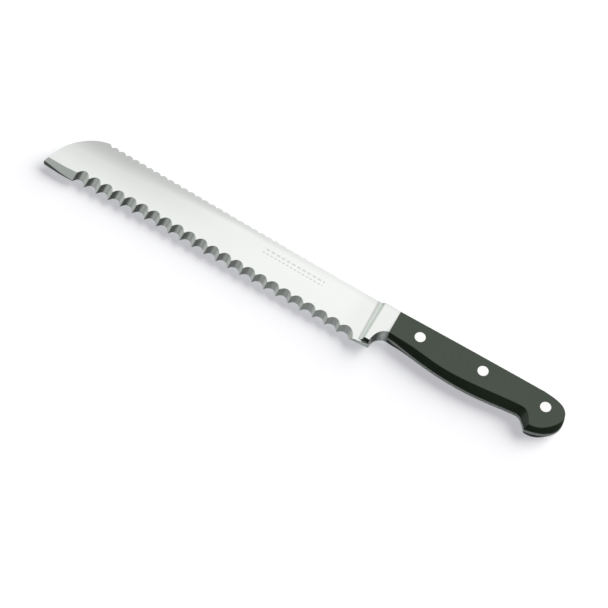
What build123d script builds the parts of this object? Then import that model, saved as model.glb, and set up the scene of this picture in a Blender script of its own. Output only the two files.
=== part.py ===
"""Bread knife: forged blade with bolster and full tang, two scales, three two-part rivets.

The knife lies on its side. X runs from the nose of the blade to the butt, Y from the
cutting edge to the spine, Z through the thickness. The origin is at the middle of the
knife's length and height, in the plane of the lower scale's broad face.
Lengths are in millimetres. Outlines are laid out as (station, height): the station is
the distance from the top corner of the tip facet towards the butt, the height the distance
from the lowest point of the edge.
"""
from build123d import *
import os
from math import atan2, cos, degrees, pi, sin, tan

os.makedirs("parts", exist_ok=True)

# Driving dimensions
overall_length = 330.0
overall_height = 32.22
handle_thickness = 12.4
blade_thickness = 2.4
tang_thickness = 2.8

# Nose: its rounded foot stands this far in front of station 0
nose_reach = 0.8
nose_foot_middle = (-0.45, 0.9)
nose_foot_station = 0.9
nose_lift = 0.5

# Cutting edge
tooth_pitch = 8.0
tooth_count = 23
first_tooth_station = 23.5
ridge_width = 0.3
scallop_depth = 1.4
scallop_radius = ((tooth_pitch - ridge_width) ** 2 / 4 + scallop_depth**2) / (2 * scallop_depth)
wheel_width = 40.0
run_out_shift = 0.25
run_out_radius = 7.0
run_out_depth = 1.2
edge_low_station = 11.0
edge_straight_station = 80.0
edge_rise = 2.25
tip_facet_length = 20.0
least_bluntness = 0.1
tip_bluntness = 1.3
heel_station = 205.2
heel_corner = (214.7, 3.15)

# Stations between which the edge's curve is laid out
edge_stations = (edge_low_station, tip_facet_length, 40.0, 60.0, edge_straight_station)

# Width of the ground bevel at the heel, its gain towards the nose, and its loss at the tip facet
bevel_width = 3.5
bevel_gain = 1.9
tip_facet_loss = 1.2
bevel_middle_station = 140.0

# Facet along the heel, which grows towards the heel's corner
heel_facet_width = 1.2
heel_facet_depth = 1.6
least_facet_share = 0.03

# Wavy spine
spine_corner = (24.5, 32.2)
wave_pitch = 4.75
wave_count = 30
wave_start = 26.9
wave_peak = 31.9
wave_valley = 30.4
wave_fade = 0.033
spine_height = 30.8

# Handle fastening
rivet_places = {"front": (237.4, 21.7), "middle": (276.9, 23.1), "rear": (316.5, 23.2)}
rivet_head_diameter = 6.2
rivet_head_height = 2.0
tube_diameter = 4.8
shank_diameter = 3.1
fit_clearance = 0.05
shank_end_gap = 0.4

# Heights through the thickness
mid_plane = handle_thickness / 2
blade_top = mid_plane + blade_thickness / 2
blade_bottom = mid_plane - blade_thickness / 2
tang_top = mid_plane + tang_thickness / 2
tang_bottom = mid_plane - tang_thickness / 2

# The handle's convex sides: share of the way from the tang's outline to the broad face's, by height
side_levels = [(0.0, tang_top), (0.45, (tang_top + handle_thickness) / 2), (1.0, handle_thickness)]

# How far the cutting shapes reach past the material they cut
clearance = 1.0

# Outline of the nose, from the spine's corner down to the foot
nose_line = [spine_corner, (13.9, 27.7), (6.1, 19.9), (2.1, 12.0), (0.0, 4.3), (-0.8, 1.9)]

# Handle outline where the scales meet the tang, and at their broad faces
top_line = {
    "tang": [(311.0, 32.2), (268.0, 32.0), (220.3, 30.9)],
    "face": [(311.0, 31.3), (268.0, 30.6), (220.4, 29.5)],
}
belly_start = (1.0, -0.1)
belly_end = (1.0, 0.1)
hook_end = (0.5, -1.0)
butt_line = {
    "tang": [
        (312.4, 6.9), (321.1, 9.5), (327.5, 14.7), (329.2, 21.0),
        (327.2, 27.2), (320.6, 31.0), (311.0, 32.2),
    ],
    "face": [
        (313.6, 8.7), (320.6, 10.7), (326.3, 16.5), (328.5, 22.4),
        (326.3, 27.4), (320.0, 30.4), (311.0, 31.3),
    ],
}
hook_line = {
    "tang": [(303.0, 12.8), (307.6, 12.0), (309.9, 9.9), (312.4, 6.9)],
    "face": [(304.0, 16.4), (308.6, 15.6), (311.3, 12.7), (313.6, 8.7)],
}
belly_line = {
    "tang": [(221.5, 13.8), (241.0, 10.9), (266.0, 9.1), (285.0, 10.3), (303.0, 12.8)],
    "face": [(221.4, 14.7), (233.0, 14.3), (256.0, 12.2), (285.0, 14.2), (304.0, 16.4)],
}

# Finger guard's outline beside the blade plate, and at the bolster's upper and lower broad faces
guard_tang = [(221.5, 13.8), (218.4, 12.3), (216.2, 9.6), (215.0, 4.2)]
guard_line = {
    "upper": {"tang": guard_tang, "face": [(221.4, 14.6), (218.2, 13.0), (215.9, 9.6), (214.9, 4.2)]},
    "lower": {"tang": guard_tang, "face": [(221.4, 14.6), (218.0, 13.8), (215.7, 11.2), (214.7, 6.2)]},
}
bolster_front = 205.25
ramp_at_spine = {"base": 205.3, "crest": 209.8}
ramp_at_heel = {"base": 208.5, "crest": 211.3}
ramp_rise = (1, 0.05)
crest_rise = (0.1, 1)
crest_radius = 0.8
face_edge_radius = 0.3


def at(point):
    """Place a (station, height) point in the knife's frame."""
    station, height = point
    return (station + nose_reach - overall_length / 2, height - overall_height / 2)


def between(line, share):
    """Points of an outline that lies a share of the way from the tang to the broad face."""
    pairs = zip(line["tang"], line["face"])
    return [at((a[0] + share * (b[0] - a[0]), a[1] + share * (b[1] - a[1]))) for a, b in pairs]


def edge_height(station):
    """Height of the cutting edge: straight from the heel, with a gentle dip before the nose."""
    if station < edge_low_station:
        return nose_lift * (1 - max(station, 0.0) / edge_low_station) ** 2
    along = (station - edge_low_station) / (edge_straight_station - edge_low_station)
    return edge_rise * sin(min(along, 1.0) * pi / 2) ** 1.5


def tip_share(station):
    """1 at the nose, falling to 0 at the first scallop."""
    return min(max(1 - station / tip_facet_length, 0.0), 1.0)


def bluntness(station):
    """Size of the small 45 degree flat that blunts the edge, widest at the nose."""
    return least_bluntness + tip_bluntness * tip_share(station)


def bevel_low(station):
    """Height and Z of the lower side of the ground bevel."""
    return (edge_height(station) + bluntness(station), blade_bottom + bluntness(station))


def bevel_top(station):
    """Height at which the ground bevel meets the blade's face."""
    taper = (1 - min(max(station, 0.0), heel_station) / heel_station) ** 1.5
    width = bevel_width + bevel_gain * taper - tip_facet_loss * tip_share(station)
    return edge_height(station) + width


def bevel_angle(station):
    """Angle between the ground bevel and the blade's face."""
    low = bevel_low(station)
    return atan2(blade_top - low[1], bevel_top(station) - low[0])


def grind_corners(station):
    """Corners, across the blade, of the material that the bevel and the blunting take away."""
    low = bevel_low(station)
    top = blade_top + clearance
    above = (low[0] + (top - low[1]) / tan(bevel_angle(station)), top)
    below = (edge_height(station) - clearance, blade_bottom - clearance)
    return [(h - overall_height / 2, z) for h, z in (low, above, (below[0], top), below)]


def facet_corners(edge, width, depth):
    """Corners, across the blade, of the material that the heel's facet takes away."""
    low = (edge, blade_top - depth)
    high = (edge + width, blade_top)
    outside = edge - clearance
    top = blade_top + clearance
    corners = (low, high, (high[0], top), (outside, top), (outside, low[1]))
    return [(h - overall_height / 2, z) for h, z in corners]


def handle_perimeter(share):
    """Draw the handle's outline, from the belly round the butt to the front of the top."""
    Spline(*between(belly_line, share), tangents=(belly_start, belly_end))
    Spline(*between(hook_line, share), tangents=(belly_end, hook_end))
    Spline(*between(butt_line, share))
    Spline(*between(top_line, share))


def bolster_perimeter(side, share):
    """Draw the bolster's outline, closed across the blade at the bolster's front."""
    guard = between(guard_line[side], share)
    top = between(top_line, share)[-1]
    corner_low = (at((bolster_front, 0.0))[0], guard[-1][1])
    corner_high = (corner_low[0], top[1])
    Line(top, guard[0])
    Spline(*guard)
    Line(guard[-1], corner_low)
    Line(corner_low, corner_high)
    Line(corner_high, top)


# Blade plate, with the heel and the finger guard's thin middle
with BuildPart() as blade_plate:
    with BuildSketch(Plane.XY.offset(blade_bottom)):
        with BuildLine():
            Spline(*[at(point) for point in nose_line])
            edge_line = [at((s, edge_height(s))) for s in (nose_foot_station, *edge_stations)]
            ThreePointArc(at(nose_line[-1]), at(nose_foot_middle), edge_line[0])
            Spline(*edge_line, tangents=((1, -0.08), (1, 0)))
            heel_start = at((heel_station, edge_rise))
            Line(edge_line[-1], heel_start)
            Line(heel_start, at(heel_corner))
            guard = [at(point) for point in guard_tang]
            Line(at(heel_corner), guard[-1])
            Spline(*guard)
            bolster_top = at(top_line["tang"][-1])
            Line(guard[0], bolster_top)
            Line(bolster_top, at((wave_start + wave_pitch * wave_count, spine_height)))
            for wave in range(wave_count):
                left = wave_start + wave_pitch * wave
                crest = at((left + wave_pitch / 2, wave_peak - wave_fade * wave))
                right_height = spine_height if wave == wave_count - 1 else wave_valley
                ThreePointArc(at((left, wave_valley)), crest, at((left + wave_pitch, right_height)))
            Line(at((wave_start, wave_valley)), at(spine_corner))
        make_face()
    extrude(amount=blade_thickness)

# Material taken away by the one-sided bevel grind
with BuildPart() as bevel_grind:
    last_tooth = first_tooth_station + tooth_pitch * (tooth_count - 1)
    before_nose = -nose_reach - clearance
    for station in (before_nose, 0.0, *edge_stations, bevel_middle_station, last_tooth):
        with BuildSketch(Plane.YZ.offset(at((station, 0.0))[0])):
            with BuildLine():
                Polyline(*grind_corners(station), close=True)
            make_face()
    loft(ruled=True)

# Material taken away by the facet along the heel
with BuildPart() as heel_grind:
    for station, edge, share in (
        (heel_station, edge_rise, least_facet_share),
        (heel_corner[0] + clearance, heel_corner[1], 1.0),
    ):
        with BuildSketch(Plane.YZ.offset(at((station, 0.0))[0])):
            with BuildLine():
                corners = facet_corners(edge, heel_facet_width * share, heel_facet_depth * share)
                Polyline(*corners, close=True)
            make_face()
    loft(ruled=True)

# Material taken away by the concave ramp that leads from the blade up to the bolster
with BuildPart() as ramp_grind:
    for ramp, height in ((ramp_at_spine, spine_height + clearance), (ramp_at_heel, clearance)):
        base = (at((ramp["base"], height))[0], blade_top)
        crest = at((ramp["crest"], height))[0]
        shoulder = (crest, handle_thickness - crest_radius)
        brow = (crest + crest_radius, handle_thickness)
        clear_x = at((bolster_front, height))[0] - clearance
        clear_z = handle_thickness + clearance
        with BuildSketch(Plane.XZ.offset(overall_height / 2 - height)):
            with BuildLine():
                Spline(base, shoulder, tangents=(ramp_rise, crest_rise))
                TangentArc(shoulder, brow, tangent=crest_rise)
                Polyline(brow, (brow[0], clear_z), (clear_x, clear_z), (clear_x, blade_top), base)
            make_face()
    loft()

# Bolster, as thick as the handle: two halves, of which the lower one has a higher foot
bolster_halves = {}
for side in guard_line:
    with BuildPart() as half:
        with BuildSketch(Plane.XY.offset(mid_plane)):
            with BuildLine():
                bolster_perimeter(side, 0.0)
            make_face()
        extrude(amount=tang_thickness / 2)
        for share, height in side_levels:
            with BuildSketch(Plane.XY.offset(height)):
                with BuildLine():
                    bolster_perimeter(side, share)
                make_face()
        loft()
        fillet(half.faces().sort_by(Axis.Z)[-1].edges().sort_by(Axis.X)[1:-1], face_edge_radius)
        add(ramp_grind.part, mode=Mode.SUBTRACT)
    bolster_halves[side] = half.part

# Forged blade: plate, bolster and full tang in one piece, with its edge ground
with BuildPart() as forged_blade:
    add(blade_plate.part)
    add(bevel_grind.part, mode=Mode.SUBTRACT)
    add(heel_grind.part, mode=Mode.SUBTRACT)
    for tooth in range(tooth_count):
        runs_out = tooth == tooth_count - 1
        station = first_tooth_station + tooth * tooth_pitch
        angle = bevel_angle(station)
        depth = run_out_depth if runs_out else scallop_depth
        radius = run_out_radius if runs_out else scallop_radius
        shift = run_out_shift if runs_out else 0.0
        height = bevel_top(station) + depth / sin(angle) - radius * sin(angle)
        axis_point = (*at((station + shift, height)), blade_top + radius * cos(angle))
        with Locations(Location(axis_point, (degrees(angle) - 90, 0, 0))):
            Cylinder(radius, wheel_width, mode=Mode.SUBTRACT)
    add(bolster_halves["upper"])
    mirror(bolster_halves["lower"], about=Plane.XY.offset(mid_plane))
    with BuildSketch(Plane.XY.offset(tang_bottom)):
        with BuildLine():
            handle_perimeter(0.0)
            Line(at(top_line["tang"][-1]), at(belly_line["tang"][0]))
        make_face()
    extrude(amount=tang_thickness)
    with Locations(*[at(place) for place in rivet_places.values()]):
        Hole(tube_diameter / 2 + fit_clearance)
forged_blade.part.label = "forged_blade"
export_step(forged_blade.part, "parts/forged_blade.step")

# Scales: convex sides that rise from the tang's edge to a flat broad face
with BuildPart() as scale_upper:
    for share, height in side_levels:
        with BuildSketch(Plane.XY.offset(height)):
            with BuildLine():
                handle_perimeter(share)
                Line(between(top_line, share)[-1], between(belly_line, share)[0])
            make_face()
    loft()
    fillet(scale_upper.faces().sort_by(Axis.Z)[-1].edges().sort_by(Axis.X)[1:], face_edge_radius)
    with Locations(*[(*at(place), handle_thickness) for place in rivet_places.values()]):
        CounterBoreHole(
            radius=tube_diameter / 2 + fit_clearance,
            counter_bore_radius=rivet_head_diameter / 2 + fit_clearance,
            counter_bore_depth=rivet_head_height,
        )
scale_upper.part.label = "scale_upper"
export_step(scale_upper.part, "parts/scale_upper.step")

with BuildPart() as scale_lower:
    mirror(scale_upper.part, about=Plane.XY.offset(mid_plane))
scale_lower.part.label = "scale_lower"
export_step(scale_lower.part, "parts/scale_lower.step")

# Rivets: the male half's shank is pressed into the female half's tube
hanging = (Align.CENTER, Align.CENTER, Align.MAX)
standing = (Align.CENTER, Align.CENTER, Align.MIN)
shank_length = handle_thickness - rivet_head_height - shank_end_gap
for name, place in rivet_places.items():
    x, y = at(place)
    with BuildPart() as male:
        with Locations((x, y, handle_thickness)):
            Cylinder(rivet_head_diameter / 2, rivet_head_height, align=hanging)
            Cylinder(shank_diameter / 2, shank_length, align=hanging)
    male.part.label = "rivet_" + name + "_male"
    export_step(male.part, "parts/rivet_" + name + "_male.step")
    with BuildPart() as female:
        with Locations((x, y)):
            Cylinder(rivet_head_diameter / 2, rivet_head_height, align=standing)
            Cylinder(tube_diameter / 2, shank_length, align=standing)
        with Locations((x, y, rivet_head_height)):
            bore_radius = shank_diameter / 2 + fit_clearance
            Cylinder(bore_radius, handle_thickness, align=standing, mode=Mode.SUBTRACT)
    female.part.label = "rivet_" + name + "_female"
    export_step(female.part, "parts/rivet_" + name + "_female.step")
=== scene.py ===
"""Bread knife: looks, studio and camera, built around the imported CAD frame. Lengths are in metres."""
import math

import bpy
from mathutils import Matrix, Vector


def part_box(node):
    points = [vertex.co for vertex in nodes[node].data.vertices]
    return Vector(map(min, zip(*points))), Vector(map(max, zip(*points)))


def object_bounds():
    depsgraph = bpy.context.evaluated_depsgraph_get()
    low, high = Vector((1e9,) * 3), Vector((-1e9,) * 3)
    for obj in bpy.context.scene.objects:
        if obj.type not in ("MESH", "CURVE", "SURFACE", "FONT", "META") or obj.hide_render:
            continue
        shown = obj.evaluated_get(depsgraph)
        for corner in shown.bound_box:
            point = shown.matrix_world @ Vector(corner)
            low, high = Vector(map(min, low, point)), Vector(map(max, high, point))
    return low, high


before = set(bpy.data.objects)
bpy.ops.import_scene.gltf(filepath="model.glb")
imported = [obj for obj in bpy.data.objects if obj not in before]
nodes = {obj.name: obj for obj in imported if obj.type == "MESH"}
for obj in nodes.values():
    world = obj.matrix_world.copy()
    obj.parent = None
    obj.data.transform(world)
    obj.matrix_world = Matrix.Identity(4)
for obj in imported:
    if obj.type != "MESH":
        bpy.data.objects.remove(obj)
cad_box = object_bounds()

MM = 0.001
scene = bpy.context.scene

# ---------------------------------------------------------------- places on the knife
blade_low, blade_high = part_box("forged_blade")
NOSE_X = blade_low.x
SPINE_Y = blade_high.y
MID_Z = (blade_low.z + blade_high.z) / 2
BLADE_TOP_Z = MID_Z + 1.2 * MM
SCALE_FRONT_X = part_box("scale_upper")[0].x
HEEL_X = SCALE_FRONT_X - 6.1 * MM


# ---------------------------------------------------------------- node helpers
class Nodes:
    """Builds a node tree with short calls. A value is a socket, or a plain number or colour."""

    def __init__(self, tree):
        self.tree = tree
        self.tree.nodes.clear()

    def add(self, kind, **settings):
        node = self.tree.nodes.new(kind)
        for key, value in settings.items():
            setattr(node, key, value)
        return node

    def link(self, source, target):
        self.tree.links.new(source, target)

    def put(self, socket, value):
        """Connect a socket, or set a plain value."""
        if isinstance(value, bpy.types.NodeSocket):
            self.link(value, socket)
        else:
            socket.default_value = value

    def object_coords(self):
        return self.add("ShaderNodeTexCoord").outputs["Object"]

    def stretched(self, coords, scale):
        mapping = self.add("ShaderNodeMapping")
        self.link(coords, mapping.inputs["Vector"])
        mapping.inputs["Scale"].default_value = scale
        return mapping.outputs["Vector"]

    def noise(self, coords, scale, detail=2.0, roughness=0.5):
        noise = self.add("ShaderNodeTexNoise")
        self.link(coords, noise.inputs["Vector"])
        noise.inputs["Scale"].default_value = scale
        noise.inputs["Detail"].default_value = detail
        noise.inputs["Roughness"].default_value = roughness
        return noise.outputs["Fac"]

    def ramp(self, value, low, high, to_low=0.0, to_high=1.0, smooth=False):
        """Map low...high to to_low...to_high, clamped at both ends."""
        node = self.add("ShaderNodeMapRange")
        node.interpolation_type = "SMOOTHSTEP" if smooth else "LINEAR"
        self.put(node.inputs["Value"], value)
        node.inputs["From Min"].default_value = low
        node.inputs["From Max"].default_value = high
        node.inputs["To Min"].default_value = to_low
        node.inputs["To Max"].default_value = to_high
        return node.outputs["Result"]

    def math(self, operation, a, b=0.0):
        node = self.add("ShaderNodeMath", operation=operation)
        self.put(node.inputs[0], a)
        self.put(node.inputs[1], b)
        return node.outputs["Value"]

    def total(self, first, *others):
        for other in others:
            first = self.math("ADD", first, other)
        return first

    def product(self, first, *others):
        for other in others:
            first = self.math("MULTIPLY", first, other)
        return first

    def inverse(self, share):
        return self.math("SUBTRACT", 1.0, share)

    def within(self, value, low, high):
        """1 between low and high, 0 outside."""
        return self.product(self.math("GREATER_THAN", value, low), self.math("LESS_THAN", value, high))

    def mix_color(self, factor, a, b):
        node = self.add("ShaderNodeMix", data_type="RGBA")
        self.put(node.inputs["Factor"], factor)
        self.put(node.inputs[6], a)
        self.put(node.inputs[7], b)
        return node.outputs[2]

    def split(self, vector):
        node = self.add("ShaderNodeSeparateXYZ")
        self.link(vector, node.inputs["Vector"])
        return node.outputs

    def bump(self, height, strength, distance, normal=None):
        node = self.add("ShaderNodeBump")
        node.inputs["Strength"].default_value = strength
        node.inputs["Distance"].default_value = distance
        self.link(height, node.inputs["Height"])
        if normal is not None:
            self.link(normal, node.inputs["Normal"])
        return node.outputs["Normal"]


class MaterialNodes(Nodes):
    """A new material with one Principled shader."""

    def __init__(self, name):
        self.material = bpy.data.materials.new(name)
        self.material.use_nodes = True
        super().__init__(self.material.node_tree)
        self.shader = self.add("ShaderNodeBsdfPrincipled")
        output = self.add("ShaderNodeOutputMaterial")
        self.link(self.shader.outputs["BSDF"], output.inputs["Surface"])

    def put_shader(self, socket_name, value):
        self.put(self.shader.inputs[socket_name], value)


def rgb(r, g, b):
    return (r, g, b, 1.0)


# ---------------------------------------------------------------- blade material
FACE_DARK, FACE_LIGHT = rgb(0.88, 0.898, 0.88), rgb(0.91, 0.928, 0.91)
GROUND_DARK, GROUND_LIGHT = rgb(0.75, 0.81, 0.765), rgb(0.84, 0.90, 0.855)
# Painted shade for the recess between the heel and the bolster's foot
HEEL_CORNER_PAINTED_SHADE = rgb(0.10, 0.11, 0.10)
BLACK = rgb(0.0, 0.0, 0.0)
STEEL_EDGE_RADIUS = 0.12 * MM

# Share of the light that each unpolished area scatters instead of reflecting it
TANG_SCATTER = 0.25
GUARD_SCATTER = 0.62
HEEL_SCALLOP_SCATTER = 0.14
SCATTER_ROUGHNESS = 0.8

# Etched mark: its ends and strength, and each row's (low side and high side below the spine, pitch,
# dash's share of the pitch), in millimetres
MARK_START_X = NOSE_X + 135.3 * MM
MARK_END_X = NOSE_X + 175.3 * MM
MARK_STRENGTH = 0.2
MARK_ROWS = [(8.9, 7.7, 3.4, 0.62), (11.3, 10.4, 2.6, 0.6)]


def spine_painted_shade(n, x, y):
    """Painted shade: the face colour is darkened towards the spine, most of all near the nose."""
    start = n.ramp(x, NOSE_X + 30 * MM, NOSE_X + 115 * MM, SPINE_Y - 14.0 * MM, SPINE_Y - 5.8 * MM)
    depth = n.ramp(x, NOSE_X + 105 * MM, NOSE_X + 175 * MM, 0.215, 0.06)
    width = n.math("SUBTRACT", SPINE_Y - 2.2 * MM, start)
    share = n.math("DIVIDE", n.math("SUBTRACT", y, start), width)
    band = n.product(n.ramp(share, 0.0, 1.0, smooth=True), depth)
    rising = n.ramp(y, SPINE_Y - 23 * MM, SPINE_Y - 10 * MM, 0.0, 0.14)
    fading = n.ramp(x, NOSE_X + 40 * MM, NOSE_X + 115 * MM, 1.0, 0.0)
    return n.total(band, n.product(rising, fading))


def ends_painted_shade(n, x):
    """Painted shade: both ends of the blade face are painted slightly darker than its middle."""
    nose = n.ramp(x, NOSE_X + 60 * MM, NOSE_X + 180 * MM, 0.035, 0.0, smooth=True)
    heel = n.ramp(x, NOSE_X + 192 * MM, NOSE_X + 204 * MM, 0.0, 0.045, smooth=True)
    return n.total(nose, heel)


def etched_mark(n, x, y):
    """A faint mark of two plain rows of dashes."""
    along = n.within(x, MARK_START_X, MARK_END_X)
    rows = []
    for low, high, pitch, share in MARK_ROWS:
        half_pitch = pitch / 2 * MM
        dash = n.math("LESS_THAN", n.math("PINGPONG", x, half_pitch), share * half_pitch)
        across = n.within(y, SPINE_Y - low * MM, SPINE_Y - high * MM)
        rows.append(n.product(along, across, dash, MARK_STRENGTH))
    return n.total(*rows)


def blade_steel():
    n = MaterialNodes("blade_steel_satin")
    coords = n.object_coords()
    x, y, z = n.split(coords)
    normal = n.split(n.add("ShaderNodeNewGeometry").outputs["Normal"])
    # Grinding lines run across the blade, from the spine to the edge.
    lines = n.noise(n.stretched(coords, (9000.0, 150.0, 900.0)), 1.0, 3.0, 0.6)
    cloud = n.noise(n.stretched(coords, (25.0, 30.0, 30.0)), 1.0)
    line_share = n.ramp(lines, 0.3, 0.7)
    # The face colour is darkened by painted shade towards the spine and at both ends, and by the etched
    # mark.
    shade_and_mark = n.total(spine_painted_shade(n, x, y), ends_painted_shade(n, x), etched_mark(n, x, y))
    face = n.mix_color(shade_and_mark, n.mix_color(line_share, FACE_DARK, FACE_LIGHT), BLACK)
    ground = n.mix_color(line_share, GROUND_DARK, GROUND_LIGHT)
    is_face = n.ramp(normal[2], 0.93, 0.97)
    steel = n.mix_color(is_face, ground, face)
    # Painted shade: the corner between the heel and the bolster's foot is painted dark, standing in for
    # the deep shade in that recess.
    faces_edge = n.ramp(normal[1], -0.5, -0.8)
    above_heel = n.math("GREATER_THAN", z, BLADE_TOP_Z + 0.1 * MM)
    before_guard = n.ramp(x, HEEL_X + 0.4 * MM, HEEL_X + 0.9 * MM, 1.0, 0.0)
    painted_shade_corner = n.product(faces_edge, above_heel, before_guard)
    n.put_shader("Base Color", n.mix_color(painted_shade_corner, steel, HEEL_CORNER_PAINTED_SHADE))
    # The tang's edge, the finger guard and the heel are left unpolished: they scatter light.
    on_tang = n.ramp(x, SCALE_FRONT_X - 0.5 * MM, SCALE_FRONT_X + 0.5 * MM)
    past_edge = n.ramp(x, HEEL_X - 10 * MM, HEEL_X - 9 * MM)
    on_guard = n.product(n.math("SUBTRACT", faces_edge, painted_shade_corner), past_edge, n.inverse(on_tang))
    # The scallops are ground a little coarser towards the heel.
    coarse = n.ramp(x, NOSE_X + 60 * MM, NOSE_X + 190 * MM, 0.0, HEEL_SCALLOP_SCATTER)
    near_edge = n.math("LESS_THAN", y, SPINE_Y - 20 * MM)
    in_scallop = n.product(n.inverse(is_face), n.inverse(past_edge), near_edge)
    scatter = n.total(
        n.product(on_tang, TANG_SCATTER),
        n.product(on_guard, GUARD_SCATTER),
        n.product(in_scallop, coarse),
    )
    n.put_shader("Metallic", n.inverse(scatter))
    satin = n.total(n.ramp(lines, 0.25, 0.75, 0.22, 0.27), n.ramp(cloud, 0.3, 0.7, -0.01, 0.02))
    n.put_shader("Roughness", n.total(satin, n.product(scatter, SCATTER_ROUGHNESS)))
    rounded = n.add("ShaderNodeBevel", samples=6)
    rounded.inputs["Radius"].default_value = STEEL_EDGE_RADIUS
    n.put_shader("Normal", n.bump(lines, 0.03, 0.01 * MM, rounded.outputs["Normal"]))
    return n.material


# ---------------------------------------------------------------- other materials
PLASTIC_DARK, PLASTIC_LIGHT = rgb(0.007, 0.016, 0.006), rgb(0.010, 0.019, 0.009)
PLASTIC_SHEEN = rgb(0.93, 1.0, 0.92)
PLASTIC_IOR = 1.70
RIVET_DARK, RIVET_LIGHT = rgb(0.90, 0.90, 0.89), rgb(0.94, 0.94, 0.93)
FLOOR_ALBEDO = 0.9


def handle_plastic():
    n = MaterialNodes("handle_plastic_satin")
    coords = n.object_coords()
    grain = n.noise(coords, 2600.0, 2.0, 0.6)
    cloud = n.noise(coords, 70.0, 3.0)
    n.put_shader("Base Color", n.mix_color(n.ramp(cloud, 0.3, 0.7), PLASTIC_DARK, PLASTIC_LIGHT))
    n.put_shader("IOR", PLASTIC_IOR)
    n.put_shader("Specular Tint", PLASTIC_SHEEN)
    n.put_shader("Roughness", n.ramp(grain, 0.3, 0.7, 0.25, 0.32))
    n.put_shader("Normal", n.bump(grain, 0.06, 0.02 * MM))
    return n.material


def rivet_steel():
    n = MaterialNodes("rivet_steel_polished")
    lines = n.noise(n.object_coords(), 5000.0, 2.0, 0.6)
    n.put_shader("Base Color", n.mix_color(n.ramp(lines, 0.3, 0.7), RIVET_DARK, RIVET_LIGHT))
    n.put_shader("Metallic", 1.0)
    n.put_shader("Roughness", n.ramp(lines, 0.3, 0.7, 0.15, 0.20))
    return n.material


def floor_material():
    n = MaterialNodes("studio_floor")
    n.put_shader("Base Color", rgb(FLOOR_ALBEDO, FLOOR_ALBEDO, FLOOR_ALBEDO))
    n.put_shader("Roughness", 1.0)
    n.put_shader("Specular IOR Level", 0.0)
    return n.material


def paint(names, material):
    for name in names:
        for slot in nodes[name].material_slots:
            slot.material = material


paint(["forged_blade"], blade_steel())
paint(["scale_upper", "scale_lower"], handle_plastic())
paint([name for name in nodes if name.startswith("rivet_")], rivet_steel())


# ---------------------------------------------------------------- floor
def make_floor(half_width):
    mesh = bpy.data.meshes.new("floor")
    corners = [(-1, -1), (1, -1), (1, 1), (-1, 1)]
    mesh.from_pydata([(cx * half_width, cy * half_width, 0.0) for cx, cy in corners], [], [(0, 1, 2, 3)])
    mesh.materials.append(floor_material())
    floor = bpy.data.objects.new("floor", mesh)
    floor.location = (0.0, 0.0, cad_box[0][2])
    floor.visible_glossy = False
    scene.collection.objects.link(floor)


make_floor(half_width=6.0)


# ---------------------------------------------------------------- light
def direction(azimuth, elevation):
    """Unit vector; azimuth 0 is +X and 90 is +Y."""
    az, el = math.radians(azimuth), math.radians(elevation)
    return Vector((math.cos(az) * math.cos(el), math.sin(az) * math.cos(el), math.sin(el)))


def distant_light(name, toward, floor_radiance, colour):
    """A distant light that gives the floor this radiance, and that reflections don't show."""
    data = bpy.data.lights.new(name, "SUN")
    data.energy = math.pi * floor_radiance / FLOOR_ALBEDO / toward.z
    data.color = colour
    lamp = bpy.data.objects.new(name, data)
    lamp.rotation_euler = toward.to_track_quat("Z", "Y").to_euler()
    lamp.visible_glossy = False
    scene.collection.objects.link(lamp)
    return lamp


def key_light(azimuth, elevation, spread, floor_radiance, colour):
    """A wide light that draws the soft shadow on the floor. Only the blade forging casts it."""
    lamp = distant_light("key_light", direction(azimuth, elevation), floor_radiance, colour)
    lamp.data.angle = math.radians(spread)
    blockers = bpy.data.collections.new("key_light_blockers")
    blockers.objects.link(nodes["forged_blade"])
    lamp.light_linking.blocker_collection = blockers


def fill_light(floor_radiance, colour):
    """An even, shadowless light from above."""
    lamp = distant_light("fill_light", Vector((0.0, 0.0, 1.0)), floor_radiance, colour)
    lamp.data.use_shadow = False


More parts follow.
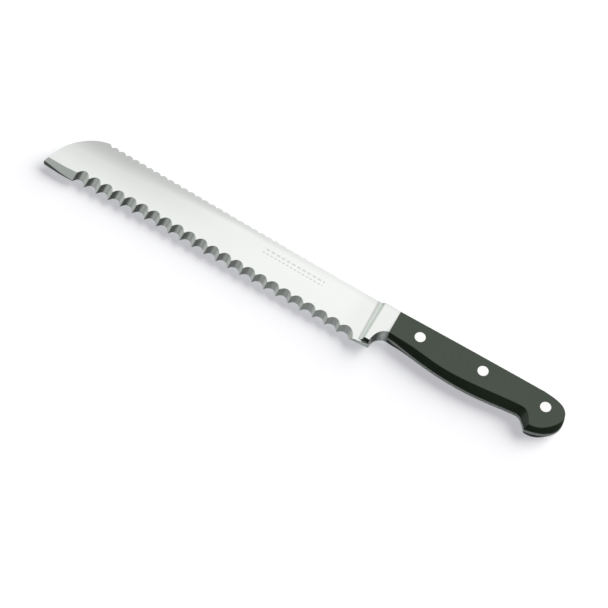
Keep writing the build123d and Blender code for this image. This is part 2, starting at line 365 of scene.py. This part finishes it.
def studio_dome(ambient, panels, backdrop):
    """What the steel and the plastic reflect. The camera sees a plain backdrop beyond the floor.

    Each panel is (azimuth, elevation, full within this angle, gone beyond this angle, radiance).
    """
    world = bpy.data.worlds.new("studio_dome")
    world.use_nodes = True
    n = Nodes(world.node_tree)
    toward = n.add("ShaderNodeTexCoord").outputs["Generated"]
    radiances = []
    for azimuth, elevation, full, gone, radiance in panels:
        dot = n.add("ShaderNodeVectorMath", operation="DOT_PRODUCT")
        n.link(toward, dot.inputs[0])
        dot.inputs[1].default_value = direction(azimuth, elevation)
        angle = n.math("ARCCOSINE", dot.outputs["Value"])
        radiances.append(n.ramp(angle, math.radians(gone), math.radians(full), 0.0, radiance, smooth=True))
    seen = n.add("ShaderNodeMix")
    n.link(n.add("ShaderNodeLightPath").outputs["Is Camera Ray"], seen.inputs["Factor"])
    n.link(n.total(ambient, *radiances), seen.inputs["A"])
    seen.inputs["B"].default_value = backdrop
    background = n.add("ShaderNodeBackground")
    n.link(seen.outputs["Result"], background.inputs["Strength"])
    output = n.add("ShaderNodeOutputWorld")
    n.link(background.outputs["Background"], output.inputs["Surface"])
    scene.world = world
    world.cycles_visibility.diffuse = False


key_light(azimuth=53.0, elevation=33.0, spread=64.0, floor_radiance=0.57, colour=(1.0, 1.0, 0.97))
fill_light(floor_radiance=0.46, colour=(0.985, 0.985, 1.05))
studio_dome(
    ambient=0.08,
    panels=[
        (100.0, 63.0, 10.0, 36.0, 1.28),
        (235.0, 70.0, 5.0, 38.0, 0.50),
        (172.0, 12.0, 25.0, 60.0, 0.55),
        (148.0, 20.0, 12.0, 40.0, 0.45),
        (85.0, 6.0, 15.0, 38.0, 0.50),
        (108.0, -52.0, 15.0, 34.0, 0.90),
        (306.0, 14.0, 8.0, 26.0, 0.60),
    ],
    backdrop=1.0,
)
scene.view_settings.view_transform = "Standard"


# ---------------------------------------------------------------- camera
def make_camera(aim, azimuth, elevation, roll, distance, lens):
    """Azimuth 0 looks along +Y with +X to the right; positive azimuth moves the camera towards +X."""
    data = bpy.data.cameras.new("camera")
    data.lens = lens
    data.sensor_width = 36.0
    data.clip_start = 0.01
    data.clip_end = 50.0
    camera = bpy.data.objects.new("camera", data)
    az, el = math.radians(azimuth), math.radians(elevation)
    away = Vector((math.sin(az) * math.cos(el), -math.cos(az) * math.cos(el), math.sin(el)))
    turn = away.to_track_quat("Z", "Y").to_matrix().to_4x4() @ Matrix.Rotation(math.radians(roll), 4, "Z")
    camera.matrix_world = Matrix.Translation(Vector(aim) + away * distance) @ turn
    scene.collection.objects.link(camera)
    scene.camera = camera


make_camera(
    aim=(7.473 * MM, -9.813 * MM, MID_Z),
    azimuth=22.23,
    elevation=61.02,
    roll=10.536,
    distance=1.202,
    lens=127.29,
)
